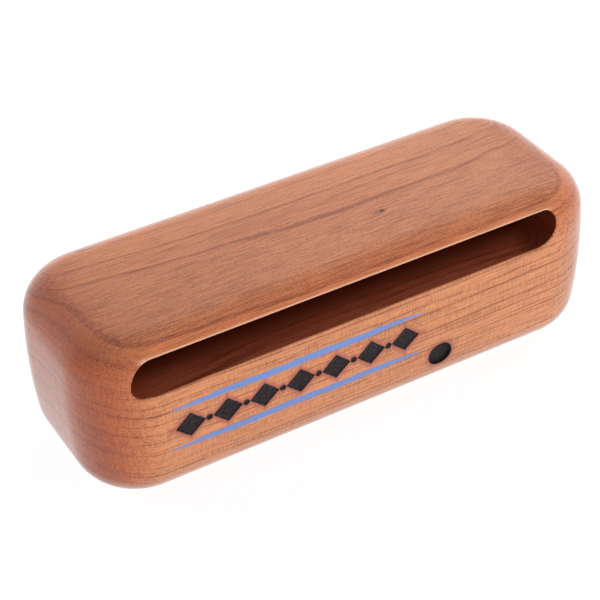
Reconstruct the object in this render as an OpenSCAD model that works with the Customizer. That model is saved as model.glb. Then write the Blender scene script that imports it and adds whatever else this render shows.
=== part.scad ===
// A hand-struck woodblock: one piece of hardwood with soft, pillowed sides and a blind tone slot
// routed into its front, just under the top. The block lies on its bottom face, its length runs
// along X, the slotted front faces -Y, and the origin is at the middle of the bottom.

/* [Block] */
// Length of the block, along the grain
block_l = 190.5; // [150:0.5:240]
// Width of the block, from the slotted front to the back
block_w = 70; // [56:0.5:90]
// Height of the block as it lies
block_h = 60; // [50:0.5:76]
// Radius of the upright corners, seen from above
corner_r = 23; // [19:0.5:27]
// Radius of the edge round the top face
top_r = 13; // [8:0.5:17]
// Radius of the edge round the bottom face
bottom_r = 14; // [6:0.5:17]
// Radius of the gentle crown sanded on the front, the back and both ends
crown_r = 190; // [120:5:600]
// Height at which the crown is fullest
crown_up = 34; // [26:0.5:38]

/* [Tone slot] */
// Height of the slot
slot_h = 11.5; // [8:0.5:16]
// Radius of the tight corner of each end, upper on the right and lower on the left
slot_tight_r = 3.5; // [2:0.5:5.5]
// Thickness of the lip of wood left over the slot
lip_t = 4.5; // [3.5:0.5:9]
// Wood left between the slot and the left end
left_wall = 14; // [11:0.5:24]
// Wood left between the slot and the right end
right_wall = 21.5; // [11:0.5:30]
// Wood left behind the slot
back_wall = 14; // [10:0.5:24]

/* [Scorched dot] */
// Diameter of the round dot burned into the front
dot_d = 9; // [6:0.5:12]
// Depth of the dot, square to the crowned front
dot_depth = 1.2; // [0.8:0.1:2.5]
// Distance from the right end to the middle of the dot
dot_from_end = 67; // [50:0.5:100]
// Height of the middle of the dot above the bottom
dot_up = 15.75; // [13:0.25:24]

/* [Hidden] */
arc_fn = 96;
crown_fn = 720;
overrun = 3;

// Distance from the middle of the block to the axes of its four upright corners
corner_x = block_l/2 - corner_r;
corner_y = block_w/2 - corner_r;

// The side of the block is a chain of three tangent arcs, drawn outward from a corner's axis:
// the bottom edge, the crown and the top edge.
crown_u = corner_r - crown_r;
bottom_u = crown_u + sqrt(pow(crown_r - bottom_r, 2) - pow(crown_up - bottom_r, 2));
top_u = crown_u + sqrt(pow(crown_r - top_r, 2) - pow(block_h - top_r - crown_up, 2));
bottom_turn = atan2(bottom_r - crown_up, bottom_u - crown_u);
top_turn = atan2(block_h - top_r - crown_up, top_u - crown_u);

// Each end of the slot is eased by hand into two arcs that meet upright: a tight corner and a long
// one. The left end is the right one turned over, about the middle of the slot.
slot_long_r = slot_h - slot_tight_r;
slot_x = (left_wall - right_wall)/2;
slot_z = block_h - lip_t - slot_h/2;
slot_reach = (block_l - left_wall - right_wall)/2;
slot_meet = slot_h/2 - slot_tight_r;
slot_back = block_w/2 - back_wall;

// The dot is burned in square to the crown, at this turn up or down from level
dot_turn = asin((dot_up - crown_up)/crown_r);

function crown_point(turn, reach) = [crown_u + reach*cos(turn), crown_up + reach*sin(turn)];

// The part of a disc between two directions, no more than a half turn apart
module sector(centre, r, from, to) {
    middle = (from + to)/2;
    far = 2*r;
    intersection() {
        translate(centre) circle(r, $fn = arc_fn);
        polygon([
            centre,
            centre + far*[cos(from), sin(from)],
            centre + far*[cos(middle), sin(middle)],
            centre + far*[cos(to), sin(to)]
        ]);
    }
}

// The shallow bow of the crown, outside the chord that joins its two ends
module crown_bow() {
    intersection() {
        translate([crown_u, crown_up]) circle(crown_r, $fn = crown_fn);
        polygon([
            crown_point(bottom_turn, crown_r),
            crown_point(bottom_turn, crown_r + overrun),
            crown_point(top_turn, crown_r + overrun),
            crown_point(top_turn, crown_r)
        ]);
    }
}

// Half of the block's upright section, from a corner's axis out to the side
module side_profile() {
    polygon([
        [0, 0],
        [bottom_u, 0],
        [bottom_u, bottom_r],
        crown_point(bottom_turn, crown_r),
        crown_point(top_turn, crown_r),
        [top_u, block_h - top_r],
        [top_u, block_h],
        [0, block_h]
    ]);
    sector([bottom_u, bottom_r], bottom_r, -90, bottom_turn);
    sector([top_u, block_h - top_r], top_r, top_turn, 90);
    crown_bow();
}

// One side of the block, run straight along X for its length and facing +Y
module straight_side(length) {
    rotate([90, 0, 90])
        translate([0, 0, -length/2])
            linear_extrude(length) side_profile();
}

// An upright corner of the block, a quarter turn of the same side
module turned_corner() {
    rotate_extrude(angle = 90, $fn = arc_fn) side_profile();
}

// The block before it is slotted: its core, four straight sides and four turned corners
module pillow() {
    translate([-corner_x, -corner_y, 0]) cube([2*corner_x, 2*corner_y, block_h]);
    for (turn = [0, 180])
        rotate([0, 0, turn]) {
            translate([0, corner_y, 0]) straight_side(2*corner_x);
            translate([corner_x, 0, 0]) rotate([0, 0, -90]) straight_side(2*corner_y);
            translate([corner_x, corner_y, 0]) turned_corner();
            translate([-corner_x, corner_y, 0]) rotate([0, 0, 90]) turned_corner();
        }
}

// The slot's outline from its middle to its right end, with the tight corner on top
module slot_half() {
    polygon([
        [-overrun, -slot_h/2],
        [slot_reach - slot_long_r, -slot_h/2],
        [slot_reach - slot_long_r, slot_meet],
        [slot_reach - slot_tight_r, slot_meet],
        [slot_reach - slot_tight_r, slot_h/2],
        [-overrun, slot_h/2]
    ]);
    sector([slot_reach - slot_long_r, slot_meet], slot_long_r, -90, 0);
    sector([slot_reach - slot_tight_r, slot_meet], slot_tight_r, 0, 90);
}

// The space that is cleared for the slot, open at the front only
module tone_slot() {
    translate([slot_x, slot_back, slot_z])
        rotate([90, 0, 0])
            linear_extrude(slot_back + block_w/2 + overrun)
                for (turn = [0, 180])
                    rotate(turn) slot_half();
}

// The flat-bottomed dot that a round iron burns into the lower front
module scorched_dot() {
    burned = crown_point(dot_turn, crown_r - dot_depth);
    translate([block_l/2 - dot_from_end, -corner_y - burned[0], burned[1]])
        rotate([90 - dot_turn, 0, 0])
            cylinder(h = dot_depth + overrun, d = dot_d, $fn = arc_fn);
}

module block() {
    color([0.78, 0.5, 0.34])
        difference() {
            pillow();
            tone_slot();
            scorched_dot();
        }
}

block();
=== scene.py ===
import math
from types import SimpleNamespace

import bmesh
import bpy
from mathutils import Matrix, Vector


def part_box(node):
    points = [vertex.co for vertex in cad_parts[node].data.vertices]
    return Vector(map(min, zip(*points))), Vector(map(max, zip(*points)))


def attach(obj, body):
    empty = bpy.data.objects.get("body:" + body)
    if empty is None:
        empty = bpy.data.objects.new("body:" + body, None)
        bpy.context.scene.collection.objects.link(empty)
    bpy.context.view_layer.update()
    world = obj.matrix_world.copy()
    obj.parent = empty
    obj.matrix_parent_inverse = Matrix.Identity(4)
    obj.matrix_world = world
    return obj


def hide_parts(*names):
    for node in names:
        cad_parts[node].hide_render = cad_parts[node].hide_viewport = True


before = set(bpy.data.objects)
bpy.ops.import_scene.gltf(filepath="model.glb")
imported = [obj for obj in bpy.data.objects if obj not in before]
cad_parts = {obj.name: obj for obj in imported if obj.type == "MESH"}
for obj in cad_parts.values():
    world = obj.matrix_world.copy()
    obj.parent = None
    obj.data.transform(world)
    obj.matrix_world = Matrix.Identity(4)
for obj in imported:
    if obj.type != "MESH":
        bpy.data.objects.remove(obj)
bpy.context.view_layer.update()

# The camera. It stands in front of the block, to its left and well above it, with a long lens,
# and looks a little past the block's middle.
mm = 0.001
camera_turn = math.radians(-29.27)
camera_rise = math.radians(37.35)
camera_roll = math.radians(-1.94)
camera_reach = 601.8*mm
looked_at = Vector((-4.20, 1.09, 28.55))*mm

towards_camera = Vector((
    math.sin(camera_turn)*math.cos(camera_rise),
    -math.cos(camera_turn)*math.cos(camera_rise),
    math.sin(camera_rise),
))
level_right = Vector((math.cos(camera_turn), math.sin(camera_turn), 0))
level_up = towards_camera.cross(level_right)
image_right = level_right*math.cos(camera_roll) + level_up*math.sin(camera_roll)
image_up = level_up*math.cos(camera_roll) - level_right*math.sin(camera_roll)

lens = bpy.data.cameras.new("camera")
lens.sensor_width = 36
lens.lens = 108.8
camera = bpy.data.objects.new("camera", lens)
camera.matrix_world = Matrix((image_right, image_up, towards_camera)).transposed().to_4x4()
camera.matrix_world.translation = looked_at + towards_camera*camera_reach
bpy.context.scene.collection.objects.link(camera)
bpy.context.scene.camera = camera
bpy.context.scene.view_settings.view_transform = "Standard"

# The block. One length of cherry, milled square, rounded over on every edge and sanded until its
# sides are slightly crowned. Its side is drawn once, as three arcs, and then run round the block.
lowest, highest = (Vector(place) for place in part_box("block"))
block_l, block_w, block_h = highest - lowest
corner_r, top_r, bottom_r = 23*mm, 13*mm, 14*mm
crown_r, crown_up = 190*mm, 34*mm
bottom_steps, crown_steps, top_steps = 12, 12, 13
length_steps, width_steps, corner_steps = 90, 12, 18
seam_gap = 0.01*mm

corner_x, corner_y = block_l/2 - corner_r, block_w/2 - corner_r
crown_u = corner_r - crown_r
bottom_u = crown_u + math.sqrt((crown_r - bottom_r)**2 - (crown_up - bottom_r)**2)
top_u = crown_u + math.sqrt((crown_r - top_r)**2 - (block_h - top_r - crown_up)**2)
bottom_turn = math.atan2(bottom_r - crown_up, bottom_u - crown_u)
top_turn = math.atan2(block_h - top_r - crown_up, top_u - crown_u)


def draw_from(name, place):
    """A new mesh of one selected vertex, in edit mode, to draw an outline from."""
    bpy.ops.object.select_all(action="DESELECT")
    bpy.ops.mesh.primitive_plane_add(size=mm, location=place)
    piece = bpy.context.object
    piece.name = piece.data.name = name
    bpy.ops.object.transform_apply(location=True, rotation=False, scale=False)
    bpy.ops.object.mode_set(mode="EDIT")
    bpy.ops.mesh.select_mode(type="VERT")
    bpy.ops.mesh.merge(type="CENTER")
    return piece


def extrude(move, steps=1):
    for _ in range(steps):
        bpy.ops.mesh.extrude_region_move(TRANSFORM_OT_translate={"value": Vector(move)/steps})


def spin(steps, angle, centre, axis):
    """Turns the drawn edge round an axis, right-handed. The operator itself turns the other way."""
    bpy.ops.mesh.spin(steps=steps, angle=-angle, center=centre, axis=axis)


def close_up():
    """Turns the faces of a closed mesh outward and leaves edit mode."""
    bpy.ops.mesh.select_all(action="SELECT")
    bpy.ops.mesh.normals_make_consistent(inside=False)
    bpy.ops.object.mode_set(mode="OBJECT")


def fill_and_thicken(move):
    """Makes a drawn outline a closed solid, as thick as the move is long."""
    bpy.ops.mesh.select_all(action="SELECT")
    bpy.ops.mesh.edge_face_add()
    extrude(move)
    close_up()


def pick(piece):
    bpy.ops.object.select_all(action="DESELECT")
    piece.select_set(True)
    bpy.context.view_layer.objects.active = piece


block = draw_from("block_wood", (-corner_x, -corner_y, 0))
extrude((0, -bottom_u, 0))
outward_up = (-1, 0, 0)
bottom_centre = (-corner_x, -corner_y - bottom_u, bottom_r)
crown_centre = (-corner_x, -corner_y - crown_u, crown_up)
top_centre = (-corner_x, -corner_y - top_u, block_h - top_r)
spin(bottom_steps, bottom_turn + math.pi/2, bottom_centre, outward_up)
spin(crown_steps, top_turn - bottom_turn, crown_centre, outward_up)
spin(top_steps, math.pi/2 - top_turn, top_centre, outward_up)
extrude((0, top_u, 0))
bpy.ops.mesh.select_all(action="SELECT")
for centre_x, centre_y, run_x, run_y, steps in (
    (-corner_x, -corner_y, 0, 2*corner_y, width_steps),
    (-corner_x, corner_y, 2*corner_x, 0, length_steps),
    (corner_x, corner_y, 0, -2*corner_y, width_steps),
    (corner_x, -corner_y, -2*corner_x, 0, length_steps),
):
    spin(corner_steps, math.pi/2, (centre_x, centre_y, 0), (0, 0, -1))
    extrude((run_x, run_y, 0), steps)
bpy.ops.mesh.select_all(action="SELECT")
bpy.ops.mesh.remove_doubles(threshold=seam_gap)
bpy.ops.mesh.select_all(action="DESELECT")
bpy.ops.mesh.select_non_manifold()
bpy.ops.mesh.edge_face_add()
close_up()


def give(node, **sockets):
    """Sets or links a node's sockets, by their place or name, to numbers, colours or outputs."""
    for name, value in sockets.items():
        socket = node.inputs[int(name[1:]) if name[1:].isdigit() else name.replace("_", " ")]
        if isinstance(value, bpy.types.NodeSocket):
            node.id_data.links.new(value, socket)
        else:
            socket.default_value = value


def add(tree, kind, options=None, **sockets):
    """Adds a node, with its options and its sockets."""
    node = tree.nodes.new("ShaderNode" + kind)
    for name, value in (options or {}).items():
        setattr(node, name, value)
    give(node, **sockets)
    return node


def work(tree, operation, *terms, clamp=False):
    """The result of one Math node."""
    sockets = {"i%d" % place: term for place, term in enumerate(terms)}
    return add(tree, "Math", {"operation": operation, "use_clamp": clamp}, **sockets).outputs[0]


def chain(tree, operation, first, *others):
    """Carries one Math operation through all its terms in turn."""
    for other in others:
        first = work(tree, operation, first, other)
    return first


def squares(tree, a, b):
    """The sum of two squares."""
    return work(tree, "MULTIPLY_ADD", a, a, work(tree, "MULTIPLY", b, b))


def ramp(tree, value, start, end, low=0.0, high=1.0, kind="SMOOTHSTEP"):
    """Carries a value from one range to another, eased and held at both ends."""
    options = {"interpolation_type": kind, "clamp": True}
    ends = {"From_Min": start, "From_Max": end, "To_Min": low, "To_Max": high}
    return add(tree, "MapRange", options, Value=value, **ends).outputs["Result"]


def noise_of(tree, place, per_mm, detail=2.0, roughness=0.5, offset=0.0):
    """Noise about zero, with its own number of waves to the millimetre along each axis."""
    stretch = {"operation": "MULTIPLY_ADD"}
    stretched = add(tree, "VectorMath", stretch, i0=place, i1=per_mm, i2=(offset,)*3).outputs[0]
    noise = add(tree, "TexNoise", Vector=stretched, Scale=1.0, Detail=detail, Roughness=roughness)
    return work(tree, "SUBTRACT", noise.outputs[0], 0.5)


def noise_by(tree, distance, per_mm, detail, roughness=0.5):
    """Noise between nought and one that varies with one distance alone."""
    look = {"Scale": per_mm, "Detail": detail, "Roughness": roughness}
    return add(tree, "TexNoise", {"noise_dimensions": "1D"}, W=distance, **look).outputs[0]


def blend(tree, amount, under, over, kind="MIX"):
    """Lays one colour over another. The Mix node's colours are its sockets 6 and 7, its result is 2."""
    options = {"data_type": "RGBA", "blend_type": kind}
    return add(tree, "Mix", options, i0=amount, i6=under, i7=over).outputs[2]


def in_millimetres(tree):
    coords = add(tree, "TexCoord").outputs["Object"]
    return add(tree, "VectorMath", {"operation": "SCALE"}, i0=coords, Scale=1/mm).outputs[0]


def material(name):
    """A new material with its node tree and its one Principled shader."""
    made = bpy.data.materials.new(name)
    made.use_nodes = True
    return made, made.node_tree, made.node_tree.nodes["Principled BSDF"]


# The wood's growth. The pith of the tree lies under the block and a little in front of its middle,
# so the rings show as long lines on the top and the front and as faint bows on the ends. Each ring
# darkens slowly towards its late wood and ends sharply. The distances are in millimetres.
pith_y, pith_z = -12.0, -38.0
bow_middle, bow_half_l, ring_bow = 10.0, 90.0, 1.15
ring_wander, ring_waver = 1.5, 0.4
late_rings = (
    (54.9, 0.5), (62.3, 0.7), (70.0, 0.75), (77.3, 0.9),
    (86.9, 0.75), (93.0, 0.6), (98.7, 0.65), (100.9, 0.6),
)
thinnest_line, widest_line, line_growth = 0.12, 0.42, 1.1
shade_w, shade_end_w = 4.0, 0.3
side_line_pitch = 3.4


def find_rings(wood):
    """Finds how far each place lies from the pith, as its ring runs: bowed and wandering."""
    tree = wood.tree
    wood.off_y = work(tree, "SUBTRACT", wood.y, pith_y)
    wood.off_z = work(tree, "SUBTRACT", wood.z, pith_z)
    wood.reach = work(tree, "SQRT", squares(tree, wood.off_y, wood.off_z))
    along = work(tree, "DIVIDE", work(tree, "SUBTRACT", wood.x, bow_middle), bow_half_l)
    bowed = work(tree, "MULTIPLY_ADD", work(tree, "MULTIPLY", along, along), -ring_bow, wood.reach)
    wander = noise_of(tree, wood.place, (0.012, 0.045, 0.045))
    waver = noise_of(tree, wood.place, (0.045, 0.3, 0.3), detail=3.0)
    wandering = work(tree, "MULTIPLY_ADD", wander, ring_wander, bowed)
    wood.ring = work(tree, "MULTIPLY_ADD", waver, ring_waver, wandering)


def find_sides(wood):
    """Finds the front and back, the ends, and the streaks that break up every line."""
    tree = wood.tree
    wood.at_the_sides = ramp(tree, work(tree, "ABSOLUTE", wood.y), 27.0, 33.0)
    wood.at_the_ends = ramp(tree, work(tree, "ABSOLUTE", wood.x), 70.0, 92.0)
    wood.fewer_bands = ramp(tree, wood.at_the_sides, 0.0, 1.0, 1.0, 0.3, "LINEAR")
    streaks = noise_of(tree, wood.place, (0.06, 0.75, 0.75), detail=3.0, roughness=0.65)
    wood.streaks = ramp(tree, streaks, -0.22, 0.22)


def late_lines(wood):
    """The late wood of each main ring, the hairlines between, and the even lines of the sides."""
    tree, ring = wood.tree, wood.ring
    slant = work(tree, "DIVIDE", work(tree, "ABSOLUTE", wood.off_y), wood.reach)
    line_w = work(tree, "MULTIPLY_ADD", slant, line_growth, thinnest_line)
    line_w = work(tree, "MINIMUM", line_w, widest_line)

    late = 0.0
    for radius, strength in late_rings:
        past = work(tree, "SUBTRACT", ring, radius)
        past_w = work(tree, "DIVIDE", past, line_w)
        line_end = ramp(tree, past_w, 0.0, 0.3, 1.0, 0.0)
        line = work(tree, "MULTIPLY", ramp(tree, past_w, -1.0, -0.3), line_end)
        shade_end = ramp(tree, past, 0.0, shade_end_w, 1.0, 0.0)
        shade = ramp(tree, past, -shade_w, 0.0, 0.0, 0.35)
        shade = chain(tree, "MULTIPLY", shade, shade_end, wood.fewer_bands)
        strongest = work(tree, "MAXIMUM", line, shade)
        late = work(tree, "MAXIMUM", late, work(tree, "MULTIPLY", strongest, strength))

    growth = noise_by(tree, ring, 0.3, detail=1.0)
    off_line = work(tree, "ABSOLUTE", work(tree, "SUBTRACT", growth, 0.5))
    hairlines = ramp(tree, work(tree, "DIVIDE", off_line, line_w), 0.0, 0.045, 0.55, 0.0)
    hairlines = work(tree, "MULTIPLY", hairlines, wood.fewer_bands)
    uneven_ring = work(tree, "MULTIPLY_ADD", growth, 2.5, ring)
    off_line = work(tree, "PINGPONG", uneven_ring, side_line_pitch/2)
    side_lines = work(tree, "MULTIPLY", ramp(tree, off_line, 0.05, 0.2, 0.7, 0.0), wood.at_the_sides)

    broken_up = work(tree, "MULTIPLY_ADD", wood.streaks, 0.5, 0.6)
    fainter_ends = ramp(tree, wood.at_the_ends, 0.0, 1.0, 1.0, 0.6, "LINEAR")
    fainter_back = ramp(tree, wood.y, 24.0, 33.0, 1.0, 0.55)
    late = chain(tree, "MAXIMUM", late, hairlines, side_lines)
    return chain(tree, "MULTIPLY", late, broken_up, fainter_ends, fainter_back)


# The wood's grain and colour. Pores and fibres run along the block, rays run out from the pith, and
# the tone they add up to leads from the early wood's colour to the late wood's. The outside has a
# satin lacquer, and the bare wood inside the slot is duller, with colours darkened by painted shade.
early_wood, late_wood = (0.74, 0.291, 0.121, 1), (0.30, 0.078, 0.028, 1)
# The bare wood's colours carry painted shade: they are darker than the lacquered wood's.
shaded_bare_early, shaded_bare_late = (0.48, 0.116, 0.056, 1), (0.20, 0.035, 0.014, 1)
# The first tint is painted shade, laid on the top, on the shoulder by the slot and at the left end.
painted_shade_tint, end_tint = (1.0, 0.64, 0.42, 1), (0.78, 0.58, 0.47, 1)
late_weight, tone_drop = 1.05, 0.41
knot_colour = (0.05, 0.006, 0.002, 1)


def grain(wood, late):
    """Adds up the wood's tone, from none in the early wood to one in the late, and its relief."""
    tree, place = wood.tree, wood.place
    bands = ramp(tree, noise_by(tree, wood.ring, 0.55, detail=4.0, roughness=0.65), 0.35, 0.72)
    bands = work(tree, "MULTIPLY", bands, wood.fewer_bands)
    bands = work(tree, "MULTIPLY_ADD", wood.at_the_sides, 0.28, bands)
    pores = noise_of(tree, place, (0.07, 2.0, 2.0), roughness=0.6, offset=7.0)
    pores = ramp(tree, pores, -0.05, 0.17)
    fibres = noise_of(tree, place, (0.10, 3.6, 3.6), roughness=0.7, offset=4.0)
    fibres = ramp(tree, fibres, -0.14, 0.14)
    turn = work(tree, "MULTIPLY", work(tree, "ARCTAN2", wood.off_y, wood.off_z), wood.reach)
    round_pith = add(tree, "CombineXYZ", i0=wood.x, i1=turn, i2=wood.reach).outputs[0]
    rays = ramp(tree, noise_of(tree, round_pith, (2.4, 1.6, 0.3), roughness=0.7), -0.14, 0.16)
    clouds = noise_of(tree, place, (0.022, 0.06, 0.06), detail=3.0, roughness=0.55, offset=3.0)

    tone = work(tree, "MULTIPLY", late, late_weight)
    for layer, weight in (
        (bands, 0.22), (wood.streaks, 0.16), (pores, 0.28), (fibres, 0.46), (rays, 0.36), (clouds, 0.45),
    ):
        tone = work(tree, "MULTIPLY_ADD", layer, weight, tone)
    wood.tone = work(tree, "SUBTRACT", tone, tone_drop, clamp=True)
    wood.relief = work(tree, "MULTIPLY_ADD", pores, -1.0, work(tree, "MULTIPLY", rays, -0.5))


def colour_of(wood, early, late):
    """The heartwood's colour, with painted shade making it redder on the top, on the shoulder by the
    slot and at the left end.
    """
    tree, x, y, z = wood.tree, wood.x, wood.y, wood.z
    shaded_top = work(tree, "MULTIPLY", ramp(tree, z, 44.0, 57.0), ramp(tree, x, 90.0, 10.0, 0.15, 0.33))
    shaded_shoulder = work(tree, "MULTIPLY", ramp(tree, y, -22.0, -30.0, 0.0, 0.3), ramp(tree, z, 44.0, 50.0))
    shaded_left_end = ramp(tree, x, -72.0, -92.0, 0.0, 0.7)
    painted_shade = work(tree, "MAXIMUM", work(tree, "ADD", shaded_top, shaded_shoulder), shaded_left_end)
    colour = blend(tree, painted_shade, blend(tree, wood.tone, early, late), painted_shade_tint, "MULTIPLY")
    return blend(tree, wood.at_the_ends, colour, end_tint, "MULTIPLY")


def cherry(name, early, late, roughness):
    """Cherry heartwood, cut along the grain, between the colours of its early and its late wood."""
    made, tree, shader = material(name)
    place = in_millimetres(tree)
    x, y, z = add(tree, "SeparateXYZ", i0=place).outputs
    wood = SimpleNamespace(material=made, tree=tree, shader=shader, place=place, x=x, y=y, z=z)
    find_rings(wood)
    find_sides(wood)
    grain(wood, late_lines(wood))
    wood.colour = colour_of(wood, early, late)
    bump = add(tree, "Bump", Strength=0.25, Distance=0.05*mm, Height=wood.relief)
    rougher = work(tree, "MULTIPLY_ADD", wood.tone, 0.12, roughness)
    give(shader, Base_Color=wood.colour, Roughness=rougher, Normal=bump.outputs[0])
    return wood


def in_ellipse(wood, middle, half_size):
    """One inside an ellipse seen from above, eased to nothing at its rim."""
    tree = wood.tree
    off_x, off_y = (
        work(tree, "DIVIDE", work(tree, "SUBTRACT", value, centre), half)
        for value, centre, half in zip((wood.x, wood.y), middle, half_size)
    )
    return ramp(tree, squares(tree, off_x, off_y), 1.0, 0.0)


satin_cherry = cherry("satin_cherry", early_wood, late_wood, roughness=0.45)
give(
    satin_cherry.shader, Specular_IOR_Level=0.1, Sheen_Weight=0.35, Sheen_Roughness=0.35,
    Coat_Weight=0.85, Coat_Roughness=0.15,
)
tree = satin_cherry.tree
knot = in_ellipse(satin_cherry, middle=(22.2, -8.0), half_size=(1.5, 1.1))
stain = in_ellipse(satin_cherry, middle=(21.1, -8.2), half_size=(3.4, 1.5))
knot = work(tree, "MAXIMUM", knot, work(tree, "MULTIPLY", stain, 0.4))
knot = work(tree, "MULTIPLY", knot, ramp(tree, satin_cherry.z, 55.0, 56.0))
satin_cherry.colour = blend(tree, knot, satin_cherry.colour, knot_colour)
block.data.materials.append(satin_cherry.material)
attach(block, "root")
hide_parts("block")

# The tone slot. A router clears it from the front, close under the top, and leaves the thin lip that
# sounds when it is struck. Its ends are eased by hand and keep the cutter's marks, its walls get no
# lacquer and carry painted shade, darker the deeper in and towards the right end, and its mouth is
# eased, with a painted highlight along the lip.
slot_h, slot_tight_r, lip_t = 11.5*mm, 3.5*mm, 4.5*mm
left_wall, right_wall, back_wall = 14*mm, 21.5*mm, 14*mm
slot_long_r = slot_h - slot_tight_r
slot_top, slot_bottom = block_h - lip_t, block_h - lip_t - slot_h
slot_left, slot_right = -block_l/2 + left_wall, block_l/2 - right_wall
slot_back = block_w/2 - back_wall
overrun = 3*mm
mouth_y = -block_w/2 - overrun
long_steps, tight_steps = 14, 10
arris, arris_steps, sliver = 0.55*mm, 4, 0.12*mm
least_mouth_angle = 0.4
# The first colour is for the cutter's marks and the painted shade inside the slot, the second for the
# painted highlight on the lip.
marks_and_shade_brown, lip_highlight_colour = (0.07, 0.007, 0.001, 1), (0.86, 0.50, 0.32, 1)


def cut(piece, cutter):
    """Cuts the cutter out of the piece, leaves its material on the faces it makes, and removes it."""
    pick(piece)
    boolean = piece.modifiers.new("cut", "BOOLEAN")
    boolean.operation = "DIFFERENCE"
    boolean.solver = "EXACT"
    boolean.material_mode = "TRANSFER"
    boolean.object = cutter
    bpy.ops.object.modifier_apply(modifier=boolean.name)
    bpy.data.objects.remove(cutter)


def select_edges(piece, test):
    """Selects the edges of the piece in hand that pass the test, and no others."""
    bpy.ops.mesh.select_mode(type="EDGE")
    bpy.ops.mesh.select_all(action="DESELECT")
    mesh = bmesh.from_edit_mesh(piece.data)
    for edge in mesh.edges:
        if test(edge):
            edge.select_set(True)
    mesh.select_flush_mode()
    bmesh.update_edit_mesh(piece.data)


def is_mouth(edge):
    """Whether an edge is one of the slot's mouth: in front, and sharp by its angle in radians."""
    sharp = len(edge.link_faces) == 2 and edge.calc_face_angle(0) > least_mouth_angle
    return sharp and max(v.co.y for v in edge.verts) < 0


router = draw_from("router", (slot_left + slot_long_r, mouth_y, slot_top))
to_viewer = (0, -1, 0)
left_meet, right_meet = slot_top - slot_long_r, slot_bottom + slot_long_r
spin(long_steps, math.pi/2, (slot_left + slot_long_r, mouth_y, left_meet), to_viewer)
spin(tight_steps, math.pi/2, (slot_left + slot_tight_r, mouth_y, left_meet), to_viewer)
extrude((slot_right - slot_left - slot_long_r - slot_tight_r, 0, 0))
spin(long_steps, math.pi/2, (slot_right - slot_long_r, mouth_y, right_meet), to_viewer)
spin(tight_steps, math.pi/2, (slot_right - slot_tight_r, mouth_y, right_meet), to_viewer)
fill_and_thicken((0, slot_back - mouth_y, 0))

bare_cherry = cherry("bare_cherry", shaded_bare_early, shaded_bare_late, roughness=0.65)
give(bare_cherry.shader, Specular_IOR_Level=0.2)
tree = bare_cherry.tree
marks = noise_of(tree, bare_cherry.place, (0.1, 0.04, 1.6), roughness=0.6)
marks = ramp(tree, marks, -0.15, 0.2, 0.0, 0.7)
marks = work(tree, "MULTIPLY", marks, ramp(tree, bare_cherry.x, 66.0, 72.0))
# Painted shade: the walls darken the deeper in they lie and towards the slot's right end. The marks
# above are the cutter's own.
shade_deep_in = ramp(tree, bare_cherry.y, -33.0, -18.0, 0.0, 0.95)
shade_at_right_end = ramp(tree, bare_cherry.x, 56.0, 68.0, 0.0, 0.8)
marks_and_shade = chain(tree, "MAXIMUM", marks, shade_deep_in, shade_at_right_end)
give(bare_cherry.shader, Base_Color=blend(tree, marks_and_shade, bare_cherry.colour, marks_and_shade_brown))
router.data.materials.append(bare_cherry.material)
cut(block, router)

bpy.ops.object.mode_set(mode="EDIT")
select_edges(block, is_mouth)
bpy.ops.mesh.remove_doubles(threshold=sliver)
select_edges(block, is_mouth)
bpy.ops.mesh.bevel(
    offset=arris, segments=arris_steps, affect="EDGES", clamp_overlap=False, material=0,
)
bpy.ops.object.mode_set(mode="OBJECT")

tree, x, y = satin_cherry.tree, satin_cherry.x, satin_cherry.y
# A painted highlight: a pale band along the arris of the lip, on the front, between the slot's ends.
off_lip = work(tree, "ABSOLUTE", work(tree, "SUBTRACT", satin_cherry.z, slot_top/mm))
on_lip = ramp(tree, off_lip, 0.3, 0.8, 0.9, 0.0)
past_left_end = ramp(tree, x, slot_left/mm + 2, slot_left/mm + 6)
before_right_end = ramp(tree, x, slot_right/mm, slot_right/mm - 4)
at_the_front = ramp(tree, y, -25.0, -27.0)
lip_highlight = chain(tree, "MULTIPLY", on_lip, past_left_end, before_right_end, at_the_front)
satin_cherry.colour = blend(tree, lip_highlight, satin_cherry.colour, lip_highlight_colour)

# The burned dot. A round iron is pressed square to the crowned front and leaves a shallow, flat
# recess. A thin skin of char lines it: a disc on its floor and a ring up its wall.
dot_r, dot_depth = 4.5*mm, 1.2*mm
dot_from_end, dot_up = 67*mm, 15.75*mm
dot_x = block_l/2 - dot_from_end
char_floor, char_wall, char_rim = 0.2*mm, 0.25*mm, 0.2*mm
past_surface = 1*mm
dot_sides = 64
black_char, grey_char = (0.006, 0.004, 0.005, 1), (0.064, 0.044, 0.048, 1)
smooth_angle = math.radians(35)


def front_frame(z):
    """The outward and the upward direction of the crowned front at a height."""
    turn = math.asin((z - crown_up)/crown_r)
    return Vector((0, -math.cos(turn), math.sin(turn))), Vector((0, math.sin(turn), math.cos(turn)))


def on_front(x, z, out=0):
    """A place on the crowned front, or this far out from it."""
    outward, _ = front_frame(z)
    return Vector((x, -corner_y - crown_u, crown_up)) + outward*(crown_r + out)


def front_disc(name, x, z, r, low, high, vertices=dot_sides):
    """A round plug, square to the front, between two distances out from its surface."""
    outward, _ = front_frame(z)
    bpy.ops.object.select_all(action="DESELECT")
    bpy.ops.mesh.primitive_cylinder_add(
        vertices=vertices, radius=r, depth=high - low, location=on_front(x, z, (low + high)/2),
        rotation=outward.to_track_quat("Z", "Y").to_euler(),
    )
    disc = bpy.context.object
    disc.name = disc.data.name = name
    bpy.ops.object.transform_apply(location=True, rotation=True, scale=True)
    return disc


def finish(piece, finish_material):
    """Gives a finished piece its material, its smooth shading and its place in the frame."""
    piece.data.materials.clear()
    piece.data.materials.append(finish_material)
    pick(piece)
    bpy.ops.object.shade_smooth_by_angle(angle=smooth_angle)
    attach(piece, "root")


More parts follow.
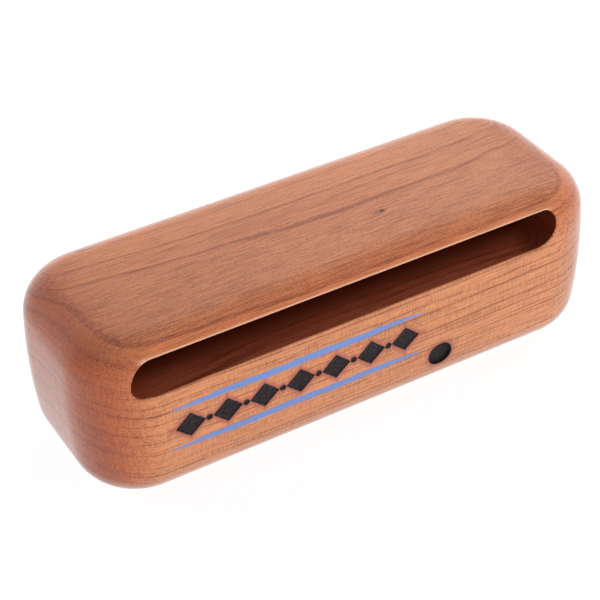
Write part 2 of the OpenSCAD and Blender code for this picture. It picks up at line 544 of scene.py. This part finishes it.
cut(block, front_disc("iron", dot_x, dot_up, dot_r, -dot_depth, past_surface))
dot_char = front_disc("dot_char", dot_x, dot_up, dot_r, -dot_depth, -char_rim)
hollow_r, hollow_low = dot_r - char_wall, char_floor - dot_depth
cut(dot_char, front_disc("hollow", dot_x, dot_up, hollow_r, hollow_low, past_surface))

scorched_wood, tree, shader = material("scorched_wood")
crackle = noise_of(tree, in_millimetres(tree), (0.9, 1.4, 1.4), detail=4.0, roughness=0.7)
crackle = ramp(tree, crackle, -0.1, 0.26)
char = blend(tree, crackle, black_char, grey_char)
pits = add(tree, "Bump", Strength=1.0, Distance=0.3*mm, Height=crackle)
give(shader, Base_Color=char, Roughness=0.6, Specular_IOR_Level=0.25, Normal=pits.outputs[0])
finish(dot_char, scorched_wood)

# The burned frieze. A plain row of seven lozenges with a small round between each two, a pattern as
# old as the trade, burned in shallow. Every floor has its own thin plate of char.
frieze_up, frieze_middle = 28.5*mm, -25*mm
lozenge_half_w, lozenge_half_h = 5.2*mm, 4.7*mm
lozenge_round, lozenge_round_steps = 0.5*mm, 3
lozenges, pitch = 7, 13*mm
round_r, round_sides = 1.1*mm, 24
burn_depth, char_top = 0.45*mm, -0.25*mm


def repeat(row, count):
    """Copies a piece along the frieze, each copy one pitch further on."""
    pick(row)
    array = row.modifiers.new("repeat", "ARRAY")
    array.count = count
    array.use_relative_offset = False
    array.use_constant_offset = True
    array.constant_offset_displace = (pitch, 0, 0)
    bpy.ops.object.modifier_apply(modifier=array.name)


def lozenge_row(name, low, high):
    """The row of lozenges as solids, between two distances out from the front."""
    outward, upward = front_frame(frieze_up)
    half_w, half_h = Vector((lozenge_half_w, 0, 0)), upward*lozenge_half_h
    first_x = frieze_middle - pitch*(lozenges - 1)/2
    row = draw_from(name, on_front(first_x, frieze_up, low) + half_h)
    extrude(-half_w - half_h)
    extrude(half_w - half_h)
    extrude(half_w + half_h)
    bpy.ops.mesh.select_all(action="SELECT")
    bpy.ops.mesh.edge_face_add()
    bpy.ops.mesh.bevel(offset=lozenge_round, segments=lozenge_round_steps, affect="VERTICES")
    bpy.ops.mesh.select_all(action="SELECT")
    extrude(outward*(high - low))
    close_up()
    repeat(row, lozenges)
    return row


def round_row(name, low, high):
    """The row of small rounds as solids, between two distances out from the front."""
    first_x = frieze_middle - pitch*(lozenges - 2)/2
    row = front_disc(name, first_x, frieze_up, round_r, low, high, vertices=round_sides)
    repeat(row, lozenges - 1)
    return row


cut(block, lozenge_row("lozenge_irons", -burn_depth, past_surface))
cut(block, round_row("round_irons", -burn_depth, past_surface))
frieze_char = lozenge_row("frieze_char", -burn_depth, char_top)
round_char = round_row("round_char", -burn_depth, char_top)
pick(frieze_char)
round_char.select_set(True)
bpy.ops.object.join()
finish(frieze_char, scorched_wood)

# The painted lines. Two plain strokes of blue, over and under the frieze, laid in a scratch so
# shallow that it only keeps the paint's edge. The brush swells and thins a little on its way.
line_half_l, line_half_h, line_steps = 46*mm, 1.3*mm, 92
line_off = 8*mm
slow_wander, slow_waves, quick_wander, quick_waves = 0.12, 9, 0.07, 31
line_fullness, line_roundness = 3.5, 0.8
scratch_depth, paint_top = 0.12*mm, -0.015*mm
light_blue, full_blue = (0.195, 0.305, 0.64, 1), (0.155, 0.245, 0.56, 1)
thin_blue = (0.27, 0.33, 0.56, 1)


def painted_line(name, z, phase, low, high):
    """One brushed stroke as a solid, between two distances out from the front."""
    outward, upward = front_frame(z)

    def edge(step, side):
        along = 2*step/line_steps - 1
        wander = slow_wander*math.sin(slow_waves*along + phase)
        wander += quick_wander*math.sin(quick_waves*along + 2*phase + side)
        taper = (1 - abs(along)**line_fullness)**line_roundness
        x = frieze_middle + line_half_l*along
        return on_front(x, z, low) + upward*(line_half_h*taper*(side + wander))

    outline = [edge(step, 1) for step in range(line_steps + 1)]
    outline += [edge(step, -1) for step in range(line_steps - 1, 0, -1)]
    stroke = draw_from(name, outline[0])
    for start, end in zip(outline, outline[1:]):
        extrude(end - start)
    fill_and_thicken(outward*(high - low))
    return stroke


blue_paint, tree, shader = material("blue_paint")
place = in_millimetres(tree)
bristles = ramp(tree, noise_of(tree, place, (0.05, 4.0, 4.0), detail=3.0), -0.25, 0.3)
thin_spots = ramp(tree, noise_of(tree, place, (0.5, 2.0, 2.0), offset=5.0), -0.1, 0.3, 0.0, 0.6)
thin_spots = work(tree, "MULTIPLY", thin_spots, bristles)
blues = blend(tree, thin_spots, blend(tree, bristles, light_blue, full_blue), thin_blue)
ridges = add(tree, "Bump", Strength=0.3, Distance=0.04*mm, Height=bristles)
give(shader, Base_Color=blues, Roughness=0.55, Normal=ridges.outputs[0])

for name, z, phase in (
    ("line_over", frieze_up + line_off, 0.4),
    ("line_under", frieze_up - line_off, 2.1),
):
    cut(block, painted_line("scratch", z, phase, -scratch_depth, past_surface))
    finish(painted_line(name, z, phase, -scratch_depth, paint_top), blue_paint)

# The browned wood. Round each burn the iron's heat has darkened the lacquered cherry, and the brown
# fades out within a millimetre or two. The distances here are in millimetres.
half_w, half_h, half_pitch = lozenge_half_w/mm, lozenge_half_h/mm, pitch/mm/2
heated_w, singed_w = 2.3, 0.25
heated_wood, singed_wood = (0.42, 0.095, 0.055, 1), (0.05, 0.018, 0.012, 1)
tree, x, z = satin_cherry.tree, satin_cherry.x, satin_cherry.z


def from_disc(off_x, centre_z, r):
    """How far a place on the front lies outside a disc, by its distance along X from the middle."""
    off_z = work(tree, "SUBTRACT", z, centre_z/mm)
    return work(tree, "SUBTRACT", work(tree, "SQRT", squares(tree, off_x, off_z)), r/mm)


along = work(tree, "SUBTRACT", x, frieze_middle/mm)
off_end = work(tree, "ABSOLUTE", along)
across = work(tree, "ABSOLUTE", work(tree, "WRAP", along, half_pitch, -half_pitch))
rise = work(tree, "ABSOLUTE", work(tree, "SUBTRACT", z, frieze_up/mm))
lozenge_sum = work(tree, "ADD", work(tree, "DIVIDE", across, half_w), work(tree, "DIVIDE", rise, half_h))
lozenge_slope = half_w*half_h/math.hypot(half_w, half_h)
from_lozenge = work(tree, "MULTIPLY", work(tree, "SUBTRACT", lozenge_sum, 1.0), lozenge_slope)
past_lozenges = work(tree, "SUBTRACT", off_end, lozenges*half_pitch)
from_lozenge = work(tree, "MAXIMUM", from_lozenge, past_lozenges)
from_round = from_disc(work(tree, "SUBTRACT", across, half_pitch), frieze_up, round_r)
past_rounds = work(tree, "SUBTRACT", off_end, (lozenges - 1)*half_pitch)
from_round = work(tree, "MAXIMUM", from_round, past_rounds)
from_dot = from_disc(work(tree, "SUBTRACT", x, dot_x/mm), dot_up, dot_r)
from_burn = chain(tree, "MINIMUM", from_dot, from_lozenge, from_round)
ragged = noise_of(tree, satin_cherry.place, (1.1, 1.1, 1.6))
ragged = work(tree, "MULTIPLY_ADD", ragged, 0.9, from_burn)
on_the_front = ramp(tree, satin_cherry.y, -29.0, -31.0)
heated = work(tree, "MULTIPLY", ramp(tree, ragged, 0.0, heated_w, 0.9, 0.0), on_the_front)
singed = work(tree, "MULTIPLY", ramp(tree, ragged, 0.0, singed_w, 0.9, 0.0), on_the_front)
browned = blend(tree, heated, satin_cherry.colour, heated_wood)
give(satin_cherry.shader, Base_Color=blend(tree, singed, browned, singed_wood))

pick(block)
bpy.ops.object.shade_smooth_by_angle(angle=smooth_angle)

# The floor and the light. A plain white table runs on behind the block. Soft lamps stand behind it
# to the right and left, low in front and at its right, with places and sizes in metres. They are
# kept out of the reflections, so that the lacquer mirrors only the white room.
floor_w, floor_gap = 6, 0.1*mm
table_white, table_shown = (0.8, 0.8, 0.8, 1), (0.12, 0.12, 0.12, 1)
table_glow = 0.95
lamps_aim = Vector((0, 0, 30))*mm


def shown_white(tree):
    """One for the rays that show the backdrop itself: seen straight, mirrored or through glass."""
    rays = add(tree, "LightPath").outputs
    mirrored = work(tree, "MAXIMUM", rays["Is Glossy Ray"], rays["Is Transmission Ray"])
    return work(tree, "MAXIMUM", rays["Is Camera Ray"], mirrored)


bpy.ops.object.select_all(action="DESELECT")
bpy.ops.mesh.primitive_plane_add(size=floor_w, location=(0, 0, -floor_gap))
floor = bpy.context.object
floor.name = floor.data.name = "floor"
white_table, tree, shader = material("white_table")
seen = shown_white(tree)
give(
    shader, Base_Color=blend(tree, seen, table_white, table_shown), Roughness=0.8,
    Specular_IOR_Level=0.0, Emission_Color=(1, 1, 1, 1),
    Emission_Strength=work(tree, "MULTIPLY", seen, table_glow),
)
floor.data.materials.append(white_table)

for name, place, size, power in (
    ("lamp_behind_right", (1.0, 0.8, 0.7), 1.2, 26.5),
    ("lamp_behind_left", (-0.9, 1.0, 0.4), 0.8, 9.8),
    ("lamp_front_left", (-0.35, -0.9, 0.15), 0.45, 4.6),
    ("lamp_front", (0.40, -0.89, 0.27), 0.45, 4.2),
    ("lamp_right", (0.9, 0.0, 0.9), 1.1, 2.0),
):
    lamp = bpy.data.lights.new(name, "AREA")
    lamp.shape = "SQUARE"
    lamp.size = size
    lamp.energy = power
    holder = bpy.data.objects.new(name, lamp)
    holder.location = place
    holder.visible_glossy = False
    holder.rotation_euler = (lamps_aim - Vector(place)).to_track_quat("-Z", "Y").to_euler()
    bpy.context.scene.collection.objects.link(holder)

world = bpy.data.worlds.new("studio")
bpy.context.scene.world = world
world.use_nodes = True
room = world.node_tree.nodes["Background"]
give(room, Color=(1, 1, 1, 1), Strength=shown_white(world.node_tree))
